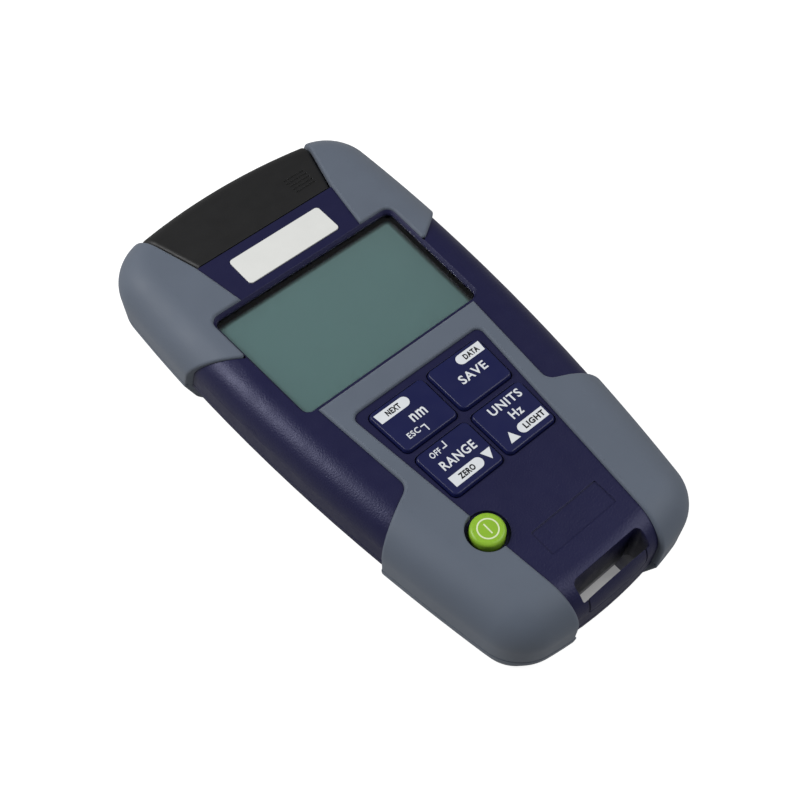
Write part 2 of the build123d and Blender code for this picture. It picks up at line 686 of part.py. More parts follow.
def optical_adapter():
    """Turned metal adapter with the ferrule bore, a flange and a plain barrel."""
    face_y = END_PLATE_Y + END_PLATE_THICKNESS
    barrel = rod(ADAPTER_BARREL_RADIUS, (0, END_PLATE_Y, PORT_Z), ADAPTER_LENGTH, (0, 1, 0))
    barrel = chamfer(barrel.edges().sort_by(Axis.Y)[-1], ADAPTER_CHAMFER)
    flange = rod(ADAPTER_FLANGE_RADIUS, (0, face_y, PORT_Z), ADAPTER_FLANGE, (0, 1, 0))
    body = barrel + flange
    return body - rod(ADAPTER_BORE_RADIUS, (0, 0, PORT_Z), FAR, (0, 1, 0))


def photodiode():
    """Detector can behind the adapter, with its header rim and three leads."""
    back_y = END_PLATE_Y - DIODE_LENGTH
    can = rod(DIODE_RADIUS, (0, END_PLATE_Y, PORT_Z), DIODE_LENGTH, (0, -1, 0))
    rim = rod(DIODE_RADIUS + DIODE_RIM, (0, back_y, PORT_Z), DIODE_RIM_THICKNESS, (0, -1, 0))
    body = can + rim
    lead_z = PORT_Z + LEAD_HEIGHT
    bend_y = back_y - LEAD_LENGTH + LEAD_RADIUS
    for x in (-LEAD_PITCH, 0, LEAD_PITCH):
        body += rod(LEAD_RADIUS, (x, back_y, lead_z), LEAD_LENGTH, (0, -1, 0))
        body += rod(LEAD_RADIUS, (x, bend_y, lead_z), BOARD_Z - lead_z, (0, 0, 1))
    return body


def usb_socket():
    """Sheet-metal socket under the board's edge, with its contact tongue."""
    low_z = BOARD_Z - USB_HEIGHT
    front_y = END_PLATE_Y + END_PLATE_THICKNESS
    back_y = front_y - USB_DEPTH
    left_x = USB_X - USB_WIDTH / 2
    right_x = USB_X + USB_WIDTH / 2
    body = block((left_x, back_y, low_z), (right_x, front_y, BOARD_Z))
    body -= block(
        (left_x + USB_SHEET, back_y + USB_BACK, low_z + USB_SHEET),
        (right_x - USB_SHEET, FAR, BOARD_Z - USB_SHEET),
    )
    tongue_z = low_z + USB_HEIGHT / 2
    body += block(
        (USB_X - USB_TONGUE_HALF, back_y, tongue_z),
        (USB_X + USB_TONGUE_HALF, front_y - USB_BACK, tongue_z + USB_TONGUE),
    )
    return body


def connector_cover():
    """Curved cover of the connector end, turning on two pins near the rear."""
    outer = (cover_form(0) + rear_form(0, SHELL_BASE_Z)) & channel(COVER_GAP, 0, FAR)
    outer = rounded_sides(outer)
    inner = cover_form(-COVER_WALL) + rear_form(-COVER_WALL, 0)
    pivot = (-FAR, PIVOT_Y, PIVOT_Z)
    barrel = rod(BARREL_RADIUS, pivot, 2 * FAR, (1, 0, 0))
    above = block((-FAR, 0, PIVOT_Z), (FAR, FAR, FAR))
    behind = block((-FAR, PIVOT_Y, 0), (FAR, FAR, PIVOT_Z))
    skin = (outer - inner) & (above + (behind & barrel))
    curl = barrel - rod(BARREL_RADIUS - COVER_WALL, pivot, 2 * FAR, (1, 0, 0))
    body = skin + (curl & outer & behind)
    middle = block((-COVER_HINGE_HALF, 0, 0), (COVER_HINGE_HALF, FAR, FAR))
    sweep = rod(EAR_SWEEP_RADIUS, pivot, 2 * FAR, (1, 0, 0)) - middle
    body -= sweep
    cheek_plan = Plane.YZ * plan(
        (PIVOT_Y - COVER_HUB_RADIUS, PIVOT_Z),
        (PIVOT_Y - COVER_HUB_RADIUS, PIVOT_Z + CHEEK_HEIGHT),
        (PIVOT_Y - CHEEK_SHOULDER, PANEL_Z),
        (TOP_END_Y, PANEL_Z),
        (TOP_END_Y, PIVOT_Z),
    )
    cheek = Pos(COVER_HINGE_HALF - COVER_CHEEK, 0, 0) * extrude(cheek_plan, COVER_CHEEK)
    hub_start = (COVER_HINGE_HALF - COVER_CHEEK, PIVOT_Y, PIVOT_Z)
    cheek += rod(COVER_HUB_RADIUS, hub_start, COVER_CHEEK, (1, 0, 0))
    solid_room = outer & (above + barrel)
    body += both_sides(cheek) & solid_room
    body -= rod(HINGE_PIN_RADIUS, pivot, 2 * FAR, (1, 0, 0))
    return body - grip_grooves()


def rounded_sides(body):
    """The cover's outer form with its long side edges rounded over."""
    rims = ShapeList()
    for wall in body.faces().filter_by(GeomType.PLANE):
        if abs(wall.normal_at(wall.center()).X) > WALL_TILT:
            rims += wall.edges()
    past_front = rims.filter_by(lambda edge: edge.center().Y > END_PLATE_Y + NEAR)
    return fillet(past_front.filter_by(lambda edge: edge.center().Z > SHELL_BASE_Z + NEAR), COVER_SIDE_ROUND)


def grip_grooves():
    """Short parallel grooves that give the cover its grip."""
    x, y = RIB_PLACE
    bars = [block((x, y + i * RIB_PITCH, PARTING_Z), (x + RIB_LENGTH, y + i * RIB_PITCH + RIB_WIDTH, FAR))
            for i in range(RIB_COUNT)]
    return Part() + bars - cover_form(-RIB_DEPTH)


def cover_hinge_pins():
    """Two steel pins pressed into the cover's cheeks."""
    start = (COVER_HINGE_HALF - COVER_CHEEK, PIVOT_Y, PIVOT_Z)
    return both_sides(rod(HINGE_PIN_RADIUS, start, HINGE_PIN_LENGTH, (1, 0, 0)))


def battery_door():
    """Flat door with a round nose that turns on two short pins."""
    hinge_y = DOOR_TOP_Y - DOOR_THICKNESS / 2
    hinge_z = SHELL_BASE_Z + DOOR_THICKNESS / 2
    door = block((-DOOR_HALF, DOOR_LOW_Y, SHELL_BASE_Z), (DOOR_HALF, hinge_y, FLOOR_Z))
    door += rod(DOOR_THICKNESS / 2, (-DOOR_HALF, hinge_y, hinge_z), 2 * DOOR_HALF, (1, 0, 0))
    pin_half = DOOR_HALF + DOOR_PIN_LENGTH
    door += rod(DOOR_PIN_RADIUS, (-pin_half, hinge_y, hinge_z), 2 * pin_half, (1, 0, 0))
    thumb = rod(DOOR_NOTCH_RADIUS, (0, DOOR_NOTCH_Y, 0), SHELL_BASE_Z + DOOR_NOTCH_DEPTH, (0, 0, 1))
    thumb -= block((-FAR, DOOR_NOTCH_Y, -1), (FAR, FAR, FAR))
    for i in range(-1, 2):
        y = DOOR_NOTCH_Y - DOOR_RIB_HALF + i * RIB_PITCH
        thumb -= block((-DOOR_RIB_HALF, y, 0), (DOOR_RIB_HALF, y + RIB_WIDTH, FAR))
    return door - thumb


def circuit_board():
    """Main board with a tongue that reaches to the ports."""
    board = block((-BOARD_HALF, BOARD_LOW_Y, BOARD_Z), (BOARD_HALF, BOARD_TOP_Y, BOARD_TOP_Z))
    board += block(
        (-BOARD_TONGUE_HALF, 0, BOARD_Z), (BOARD_TONGUE_HALF, END_PLATE_Y - PLAY, BOARD_TOP_Z)
    )
    return board


def switch_places():
    """Centres of the five switches in plan."""
    return [key_centre(*spot) for spot in KEYS.values()] + [(POWER_X, POWER_Y)]


def keypad_mat():
    """Silicone mat over the switches, with a raised pad under each key."""
    low_y = POWER_Y - POWER_WELL_RADIUS - MAT_MARGIN
    half = KEYPAD_HALF_TOP + MAT_MARGIN
    mat_top_z = BOARD_TOP_Z + MAT_THICKNESS
    mat = block((-half, low_y, BOARD_TOP_Z), (half, KEYPAD_TOP_Y, mat_top_z))
    for x, y in switch_places():
        mat += rod(DOME_RADIUS + PAD_RIM, (x, y, mat_top_z), PAD_RISE, (0, 0, 1))
        mat -= rod(DOME_RADIUS, (x, y, BOARD_TOP_Z), DOME_HEIGHT, (0, 0, 1))
    return mat


def dome_switches():
    """Snap domes on the board, one under each key."""
    ball = (DOME_RADIUS ** 2 + DOME_HEIGHT ** 2) / (2 * DOME_HEIGHT)
    cap = Pos(0, 0, BOARD_TOP_Z + DOME_HEIGHT - ball) * Sphere(ball)
    cap &= block((-FAR, -FAR, BOARD_TOP_Z), (FAR, FAR, FAR))
    return Part() + [Pos(x, y, 0) * cap for x, y in switch_places()]


def lcd_frame():
    """Tray on the board that holds the display."""
    tray = extrude(Pos(0, 0, BOARD_TOP_Z) * screen_plan(WINDOW_LIP), WINDOW_Z - PLAY - BOARD_TOP_Z)
    tray -= extrude(Pos(0, 0, LCD_Z) * screen_plan(WINDOW_LIP - LCD_FRAME_WALL), FAR)
    return tray


def battery_cells():
    """Two AA cells side by side, pointing opposite ways."""
    start_y = BAY_LOW_Y + CONTACT_REACH
    cell = rod(CELL_RADIUS, (0, 0, 0), CELL_LENGTH, (0, 1, 0))
    cell = fillet(cell.edges().filter_by(GeomType.CIRCLE), CELL_EDGE)
    cell += rod(CELL_BUTTON_RADIUS, (0, CELL_LENGTH, 0), CELL_BUTTON_LENGTH, (0, 1, 0))
    right = Pos(CELL_PITCH / 2, start_y, CELL_Z) * cell
    end_y = start_y + CELL_LENGTH + CELL_BUTTON_LENGTH
    left = Pos(-CELL_PITCH / 2, end_y, CELL_Z) * Rot(0, 0, 180) * cell
    return Part() + [left, right]


def leaf_contact(x, wall_y, inward):
    """Bent leaf that bridges from the bay's end wall to a cell."""
    face_y = wall_y + inward * CONTACT_SHEET
    tip_y = wall_y + inward * CONTACT_REACH
    back_y = tip_y - inward * CONTACT_SHEET
    side = Plane.YZ * plan(
        (wall_y, CELL_Z - LEAF_FOOT),
        (face_y, CELL_Z - LEAF_FOOT),
        (tip_y, CELL_Z - LEAF_TIP),
        (tip_y, CELL_Z + LEAF_TIP),
        (face_y, CELL_Z + LEAF_FOOT),
        (wall_y, CELL_Z + LEAF_FOOT),
        (wall_y, CELL_Z + LEAF_FOOT - LEAF_TIP),
        (back_y, CELL_Z + LEAF_TIP / 2),
        (back_y, CELL_Z - LEAF_TIP / 2),
        (wall_y, CELL_Z - LEAF_FOOT + LEAF_TIP),
    )
    return Pos(x, 0, 0) * extrude(side, LEAF_HALF_WIDTH, both=True)


def battery_contacts():
    """Four leaf contacts, two at each end of the bay."""
    leaves = []
    for x in (-CELL_PITCH / 2, CELL_PITCH / 2):
        leaves.append(leaf_contact(x, BAY_LOW_Y, 1))
        leaves.append(leaf_contact(x, BAY_TOP_Y, -1))
    return Part() + leaves


def case_screws():
    """Four pan-head screws driven from the rear."""
    head_z = SCREW_SINK - SCREW_HEAD
    shank_length = PARTING_Z + SCREW_DEPTH - SCREW_SINK - SCREW_END_GAP
    head = rod(SCREW_HEAD_RADIUS, (0, 0, head_z), SCREW_HEAD, (0, 0, 1))
    screw = fillet(head.edges().sort_by(Axis.Z)[0], SCREW_HEAD_EDGE)
    screw += rod(SCREW_RADIUS, (0, 0, SCREW_SINK), shank_length, (0, 0, 1))
    for reach_x, reach_y in ((RECESS_REACH, RECESS_HALF_WIDTH), (RECESS_HALF_WIDTH, RECESS_REACH)):
        screw -= block((-reach_x, -reach_y, 0), (reach_x, reach_y, head_z + RECESS_DEPTH))
    return Part() + [Pos(x, y, 0) * screw for x, y in screw_places()]


def build_all():
    """Every piece of the meter by its node name."""
    front_bumper = soft_front(front_bumper_region())
    rear_bumper = soft_rear(rear_bumper_region())
    wings = soft_rear(wing_region()) - bay_surround()
    right_half = block((0, -FAR, -FAR), (FAR, FAR, FAR))
    well = rod(POWER_WELL_RADIUS, (POWER_X, POWER_Y, 0), FAR, (0, 0, 1))
    pieces = {
        "front_shell": front_shell(),
        "rear_shell": rear_shell(),
        "upper_left_bumper": mirror(front_bumper, about=Plane.YZ),
        "upper_right_bumper": front_bumper,
        "lower_grip": soft_front(lower_region()) - well,
        "rear_upper_left_bumper": mirror(rear_bumper, about=Plane.YZ),
        "rear_upper_right_bumper": rear_bumper,
        "rear_lower_left_grip": wings - right_half,
        "rear_lower_right_grip": wings & right_half,
        "screen_window": extrude(Pos(0, 0, WINDOW_Z) * screen_plan(WINDOW_LIP), WINDOW_THICKNESS),
        "lcd_panel": extrude(
            Pos(0, 0, LCD_Z) * screen_plan(WINDOW_LIP - LCD_FRAME_WALL - PLAY), LCD_THICKNESS
        ),
        "lcd_frame": lcd_frame(),
        "label_plate": rounded_plate(
            0, LABEL_Y, PANEL_Z - LABEL_SEAT, LABEL_WIDTH, LABEL_LENGTH, LABEL_THICKNESS, LABEL_CORNER
        ),
        "power_button": power_button(),
        "keypad_mat": keypad_mat(),
        "dome_switches": dome_switches(),
        "circuit_board": circuit_board(),
        "end_plate": end_plate(),
        "optical_adapter": optical_adapter(),
        "photodiode": photodiode(),
        "usb_socket": usb_socket(),
        "connector_cover": connector_cover(),
        "cover_hinge_pins": cover_hinge_pins(),
        "battery_door": battery_door(),
        "battery_cells": battery_cells(),
        "battery_contacts": battery_contacts(),
        "case_screws": case_screws(),
    }
    for name, (column, row) in KEYS.items():
        pieces[name] = key(column, row)
    return pieces


if __name__ == "__main__":
    for name, piece in build_all().items():
        export_step(piece, f"parts/{name}.step")
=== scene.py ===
import json
import math

import bmesh
import bpy
from mathutils import Matrix, Vector


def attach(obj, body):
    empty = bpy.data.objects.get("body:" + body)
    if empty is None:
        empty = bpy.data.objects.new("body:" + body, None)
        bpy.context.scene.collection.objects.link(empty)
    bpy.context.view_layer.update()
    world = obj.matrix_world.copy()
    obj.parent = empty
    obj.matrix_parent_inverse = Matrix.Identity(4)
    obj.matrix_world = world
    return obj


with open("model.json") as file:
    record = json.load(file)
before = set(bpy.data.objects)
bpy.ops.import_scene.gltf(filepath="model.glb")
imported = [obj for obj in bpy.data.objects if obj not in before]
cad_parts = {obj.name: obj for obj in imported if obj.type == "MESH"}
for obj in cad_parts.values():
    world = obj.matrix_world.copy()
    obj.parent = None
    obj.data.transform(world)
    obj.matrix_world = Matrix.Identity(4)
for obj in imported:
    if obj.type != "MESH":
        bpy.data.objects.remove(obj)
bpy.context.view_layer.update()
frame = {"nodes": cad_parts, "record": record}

# Looks of a handheld optical power meter. Lengths are in metres, in the row's frame.

MM = 0.001

# Camera, solved from the photograph's outline
CAMERA_PLACE = Vector((-94.24, -111.08, 237.45)) * MM
CAMERA_RIGHT = Vector((0.75935, -0.65068, -0.00091))
CAMERA_DOWN = Vector((-0.54991, -0.64101, -0.53546))
FOCAL_LENGTH = 48.1
SENSOR_WIDTH = 36.0
CLIP_START = 0.01
CLIP_END = 10

# Colours, as written in sRGB
SHELL_BLUE = "1A1A3D"
SHELL_SHEEN = (0.72, 0.74, 1.0, 1.0)
SOFT_GREY = "5F6876"
COVER_BLACK = "171718"
KEY_BLUE = "141949"
PRINT_WHITE = "E4E8EC"
BUTTON_GREEN = "93C132"
BUTTON_PRINT = "E4EFC4"
LABEL_WHITE = "E8E9E6"
DISPLAY_GREEN = "7D9D9F"
INNER_GREY = "26272B"
MAT_GREY = "8C8F94"
BOARD_GREEN = "1D5A36"
STEEL_GREY = "B9BCBF"
BRASS_YELLOW = "B79C5E"
CELL_GREY = "3A3D42"
PRINT_DARK = "14161C"
# Painted shade: grey of the sheet on the floor under the lanyard slot
PAINTED_SHADE_GREY = "D8D8D6"
# Black under the window's edge: partly print, partly painted shade
BORDER_PRINT_AND_SHADE_BLACK = "0A0A0C"
WINDOW_CLEAR = "FBFDFC"
WHITE = (1, 1, 1, 1)

# Studio: lamps as place, size and power; levels of the surround and of the floor's own glow
LEFT_SOFTBOX = (-0.42, 0.4, 0.5), 0.36, 3.75
RIGHT_SOFTBOX = (0.6, -0.46, 0.86), 0.8, 5.9
SURROUND_LIGHT = 0.2
SURROUND_SEEN = 1.0
FLOOR_REACH = 3.0
FLOOR_GREY = (0.42, 0.42, 0.42, 1)
FLOOR_GLOW = 0.85

# Painted shade on the floor under the lanyard slot, a grey sheet with a faint glow, in millimetres: its full
# part, and the width over which it fades
SHADE_LEFT = -3.0
SHADE_RIGHT = 14.0
SHADE_LOW_Y = -68.3
SHADE_TOP_Y = -60.0
SHADE_FADE = 3.0
SHADE_LIFT = 0.05
SHADE_GLOW = 0.19

# Printed legends: heights over the frame's base plane and sizes, in millimetres
KEY_TOP_Z = 29.3
BUTTON_TOP_Z = 30.0
PRINT_SHIFT = 0.27
INK = 0.02
STROKE = 0.3
ROUND_STEPS = 12
BUTTON_CENTRE = (-15.7, -48.0)
RING_RADIUS = 2.35
RING_LINE = 0.34
BAR_LENGTH = 2.8
UPPER_SLANT = 0.3
LOWER_SLANT = 0.1
HOOK_WIDTH = 1.3
LETTER_WEIGHT = 0.02
DARK_WEIGHT = 0.042
LETTER_SPACE = 1.12
LETTER_STEPS = 3
FLAT_LAYERS = 1
UPPER_LAYERS = 2

# Black border under the window, in millimetres: the screen opening, then how far the border's
# outside, its black part and its soft edge lie from it. Near is left and below, far is right and above.
# The black is partly print; where it widens at the far sides and fades at its inner edge it is painted shade.
SCREEN_HALF_LOW = 27.3
SCREEN_HALF_TOP = 28.6
SCREEN_LOW_Y = 0.3
SCREEN_TOP_Y = 37.2
SCREEN_CORNER = 2.6
BORDER_OUTSIDE = 0.2
BORDER_NEAR = 0.85
BORDER_FAR = 1.2
FADE_NEAR = 0.95
FADE_FAR = 2.75
BORDER_LOW_Z = 25.63
BORDER_TOP_Z = 25.68
LEAST_CORNER = 0.4


def linear(code):
    """Linear colour of a hexadecimal sRGB code."""
    channels = [int(code[i:i + 2], 16) / 255 for i in (0, 2, 4)]
    scaled = [c / 12.92 if c <= 0.04045 else ((c + 0.055) / 1.055) ** 2.4 for c in channels]
    return (*scaled, 1.0)


class Finish:
    """A node material built up step by step around one Principled shader."""

    def __init__(self, name, colour, roughness, metallic=0.0, specular=0.5):
        self.material = bpy.data.materials.new(name)
        self.material.use_nodes = True
        self.nodes = self.material.node_tree.nodes
        self.links = self.material.node_tree.links
        self.shader = self.nodes["Principled BSDF"]
        self.colour = linear(colour)
        self.shader.inputs["Base Color"].default_value = self.colour
        self.shader.inputs["Roughness"].default_value = roughness
        self.shader.inputs["Metallic"].default_value = metallic
        self.shader.inputs["Specular IOR Level"].default_value = specular
        self.place = self.nodes.new("ShaderNodeTexCoord").outputs["Object"]
        self.normal = None

    def noise(self, feature, detail=2.0):
        """Noise whose blotches measure about one feature, in metres."""
        node = self.nodes.new("ShaderNodeTexNoise")
        node.inputs["Scale"].default_value = 1 / feature
        node.inputs["Detail"].default_value = detail
        node.inputs["Roughness"].default_value = 0.5
        self.links.new(self.place, node.inputs["Vector"])
        return node.outputs["Fac"]

    def remap(self, value, low, high, start=0.3, end=0.7):
        """A 0 to 1 value spread over another range."""
        node = self.nodes.new("ShaderNodeMapRange")
        node.inputs["From Min"].default_value = start
        node.inputs["From Max"].default_value = end
        node.inputs["To Min"].default_value = low
        node.inputs["To Max"].default_value = high
        self.links.new(value, node.inputs["Value"])
        return node.outputs["Result"]

    def mottle(self, feature, amount):
        """Slow change of brightness over the surface."""
        shift = self.nodes.new("ShaderNodeHueSaturation")
        shift.inputs["Color"].default_value = self.colour
        value = self.remap(self.noise(feature), 1 - amount, 1 + amount)
        self.links.new(value, shift.inputs["Value"])
        self.links.new(shift.outputs["Color"], self.shader.inputs["Base Color"])

    def sheen_change(self, feature, low, high):
        """Roughness that wanders between two values."""
        self.links.new(self.remap(self.noise(feature), low, high), self.shader.inputs["Roughness"])

    def soften_edges(self, radius):
        """Edges that catch the light as if slightly rounded."""
        node = self.nodes.new("ShaderNodeBevel")
        node.samples = 6
        node.inputs["Radius"].default_value = radius
        self.normal = node.outputs["Normal"]
        self.links.new(self.normal, self.shader.inputs["Normal"])

    def grain(self, feature, depth, detail=2.0):
        """Moulded grain: bumps of one feature size and depth, in metres."""
        bump = self.nodes.new("ShaderNodeBump")
        bump.inputs["Strength"].default_value = 1.0
        bump.inputs["Distance"].default_value = depth
        self.links.new(self.noise(feature, detail), bump.inputs["Height"])
        if self.normal is not None:
            self.links.new(self.normal, bump.inputs["Normal"])
        self.normal = bump.outputs["Normal"]
        self.links.new(self.normal, self.shader.inputs["Normal"])


def moulded(name, colour, roughness, feature=0.35 * MM, depth=0.02 * MM, edge=0.25 * MM, tint=WHITE):
    """Hard plastic with a fine spark-eroded grain."""
    finish = Finish(name, colour, roughness, specular=0.42)
    finish.shader.inputs["Specular Tint"].default_value = tint
    finish.mottle(feature=9 * MM, amount=0.03)
    finish.sheen_change(feature=4 * MM, low=roughness - 0.04, high=roughness + 0.04)
    finish.soften_edges(edge)
    finish.grain(feature, depth)
    return finish


def make_materials():
    """Every material of the meter by its slot name."""
    made = {}
    shell = moulded("navy_shell", SHELL_BLUE, roughness=0.42, feature=0.4 * MM, depth=0.066 * MM,
                    tint=SHELL_SHEEN)
    made["shell"] = shell.material
    made["cover"] = moulded("black_cover", COVER_BLACK, roughness=0.52, depth=0.016 * MM).material
    key = moulded("key_cap", KEY_BLUE, roughness=0.36, feature=0.2 * MM, depth=0.004 * MM)
    made["key"] = key.material

    soft = Finish("soft_overmould", SOFT_GREY, roughness=0.6, specular=0.35)
    soft.mottle(feature=12 * MM, amount=0.03)
    soft.sheen_change(feature=6 * MM, low=0.56, high=0.66)
    soft.soften_edges(radius=0.6 * MM)
    soft.grain(feature=0.12 * MM, depth=0.004 * MM, detail=3.0)
    soft.shader.inputs["Sheen Weight"].default_value = 0.14
    soft.shader.inputs["Sheen Roughness"].default_value = 0.5
    made["soft"] = soft.material

    made["power"] = button_material()
    made["window"] = window_material()
    made["display"] = display_material()

    label = Finish("label_plate", LABEL_WHITE, roughness=0.34)
    label.mottle(feature=5 * MM, amount=0.015)
    label.soften_edges(radius=0.15 * MM)
    label.grain(feature=0.1 * MM, depth=0.002 * MM)
    made["label"] = label.material

    made["inner"] = moulded("inner_plastic", INNER_GREY, roughness=0.5).material

    mat = Finish("keypad_silicone", MAT_GREY, roughness=0.6)
    mat.mottle(feature=5 * MM, amount=0.04)
    mat.grain(feature=0.15 * MM, depth=0.003 * MM)
    made["mat"] = mat.material

    board = Finish("solder_resist", BOARD_GREEN, roughness=0.3)
    board.mottle(feature=3 * MM, amount=0.1)
    board.grain(feature=0.6 * MM, depth=0.01 * MM)
    made["board"] = board.material

    made["steel"] = metal("bright_steel", STEEL_GREY, roughness=0.28, low=0.24)
    made["brass"] = metal("plated_brass", BRASS_YELLOW, roughness=0.26, low=0.2)

    cell = Finish("cell_sleeve", CELL_GREY, roughness=0.35)
    cell.mottle(feature=8 * MM, amount=0.06)
    made["cell"] = cell.material
    return made


def metal(name, colour, roughness, low):
    """Bright metal whose roughness wanders up from a low value."""
    finish = Finish(name, colour, roughness, metallic=1.0)
    finish.mottle(feature=2 * MM, amount=0.06)
    finish.soften_edges(radius=0.1 * MM)
    finish.sheen_change(feature=1 * MM, low=low, high=0.34)
    return finish.material


def button_material():
    """Green silicone that lets a little light in."""
    finish = Finish("green_silicone", BUTTON_GREEN, roughness=0.38)
    finish.shader.inputs["Subsurface Weight"].default_value = 0.12
    finish.shader.inputs["Subsurface Radius"].default_value = (1.0, 1.0, 0.4)
    finish.shader.inputs["Subsurface Scale"].default_value = 0.6 * MM
    finish.mottle(feature=3 * MM, amount=0.03)
    finish.grain(feature=0.15 * MM, depth=0.003 * MM)
    return finish.material


def window_material():
    """Clear window that lets light through to the display."""
    material = bpy.data.materials.new("clear_window")
    material.use_nodes = True
    nodes = material.node_tree.nodes
    links = material.node_tree.links
    nodes.remove(nodes["Principled BSDF"])
    clear = nodes.new("ShaderNodeBsdfTransparent")
    clear.inputs["Color"].default_value = linear(WINDOW_CLEAR)
    gloss = nodes.new("ShaderNodeBsdfGlossy")
    gloss.inputs["Roughness"].default_value = 0.12
    gloss.inputs["Color"].default_value = WHITE
    fresnel = nodes.new("ShaderNodeFresnel")
    fresnel.inputs["IOR"].default_value = 1.38
    wave = nodes.new("ShaderNodeTexNoise")
    wave.inputs["Scale"].default_value = 1 / (20 * MM)
    bump = nodes.new("ShaderNodeBump")
    bump.inputs["Distance"].default_value = 0.01 * MM
    bump.inputs["Strength"].default_value = 0.3
    place = nodes.new("ShaderNodeTexCoord")
    mix = nodes.new("ShaderNodeMixShader")
    links.new(place.outputs["Object"], wave.inputs["Vector"])
    links.new(wave.outputs["Fac"], bump.inputs["Height"])
    links.new(bump.outputs["Normal"], gloss.inputs["Normal"])
    links.new(fresnel.outputs["Fac"], mix.inputs["Fac"])
    links.new(clear.outputs["BSDF"], mix.inputs[1])
    links.new(gloss.outputs["BSDF"], mix.inputs[2])
    links.new(mix.outputs["Shader"], nodes["Material Output"].inputs["Surface"])
    return material


def display_material():
    """Unlit liquid crystal: plain grey-green."""
    finish = Finish("liquid_crystal", DISPLAY_GREEN, roughness=0.55, specular=0.2)
    finish.mottle(feature=40 * MM, amount=0.03)
    finish.grain(feature=0.3 * MM, depth=0.001 * MM)
    return finish.material


def assign(materials):
    """Gives every carried-over node its material."""
    slots = {part["node"]: part["material_slot"] for part in frame["record"]["subparts"]}
    for name, piece in frame["nodes"].items():
        piece.data.materials.clear()
        piece.data.materials.append(materials[slots[name]])


def mesh_piece(name, build, material, body):
    """A printed or moulded piece made with bmesh, riding on a body."""
    mesh = bpy.data.meshes.new(name)
    bm = bmesh.new()
    build(bm)
    bm.to_mesh(mesh)
    bm.free()
    piece = bpy.data.objects.new(name, mesh)
    bpy.context.scene.collection.objects.link(piece)
    mesh.materials.append(material)
    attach(piece, body)
    return piece


def prism(bm, points, low_z, high_z):
    """Thin closed plate over an outline, in millimetres."""
    low = [bm.verts.new((x * MM, y * MM, low_z * MM)) for x, y in points]
    high = [bm.verts.new((x * MM, y * MM, high_z * MM)) for x, y in points]
    bm.faces.new(list(reversed(low)))
    bm.faces.new(high)
    for i in range(len(points)):
        j = (i + 1) % len(points)
        bm.faces.new((low[i], low[j], high[j], high[i]))


def half_round(x, y, radius, side):
    """Points of a half circle that bulges to one side: upwards for the right, downwards for the left."""
    turns = [math.pi * (i / ROUND_STEPS - 0.5) for i in range(ROUND_STEPS + 1)]
    points = [(x + side * radius * math.cos(t), y + radius * math.sin(t)) for t in turns]
    return points if side > 0 else list(reversed(points))


def tab(left, right, low, high, round_side, slant):
    """Outline of a printed tab: one end square and slanted, the other end round."""
    radius = (high - low) / 2
    middle = (high + low) / 2
    if round_side > 0:
        return [(left, high), (left + slant, low)] + half_round(right - radius, middle, radius, 1)
    return half_round(left + radius, middle, radius, -1) + [(right - slant, low), (right, high)]


def printed(name, key, outlines, material):
    """Flat ink on one key or on the power button: outlines turned into thin plates."""
    round_button = key == "power_button"
    shift = 0 if round_button else PRINT_SHIFT
    base = BUTTON_TOP_Z if round_button else KEY_TOP_Z

    def build(bm):
        for points in outlines:
            prism(bm, [(x + shift, y + shift) for x, y in points], base, base + INK)

    return mesh_piece(name, build, material, key + "_body")


def word(name, key, text, left, right, low, high, material, layers=FLAT_LAYERS, weight=LETTER_WEIGHT):
    """A word in plain letters that fills a box on one key, on the given count of ink layers."""
    curve = bpy.data.curves.new(name, "FONT")
    curve.body = text
    curve.offset = weight
    curve.space_character = LETTER_SPACE
    curve.extrude = 1.0
    curve.resolution_u = LETTER_STEPS
    letters = bpy.data.objects.new(name + "_letters", curve)
    mesh = bpy.data.meshes.new_from_object(letters)
    bpy.data.objects.remove(letters)
    xs = [v.co.x for v in mesh.vertices]
    ys = [v.co.y for v in mesh.vertices]
    scale_x = (right - left) / (max(xs) - min(xs))
    scale_y = (high - low) / (max(ys) - min(ys))
    base = KEY_TOP_Z + INK * (layers - 0.5)
    for v in mesh.vertices:
        x = left + PRINT_SHIFT + (v.co.x - min(xs)) * scale_x
        y = low + PRINT_SHIFT + (v.co.y - min(ys)) * scale_y
        v.co = Vector((x, y, base + v.co.z * INK / 2)) * MM
    mesh.name = name
    piece = bpy.data.objects.new(name, mesh)
    bpy.context.scene.collection.objects.link(piece)
    mesh.materials.clear()
    mesh.materials.append(material)
    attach(piece, key + "_body")


def hook(x, y, width, height, turn):
    """Small corner bracket: a flat bar with a leg that points down or up."""
    edge = STROKE * turn
    return [(x, y), (x + width, y), (x + width, y - turn * height), (x + width - STROKE, y - turn * height),
            (x + width - STROKE, y - edge), (x, y - edge)]


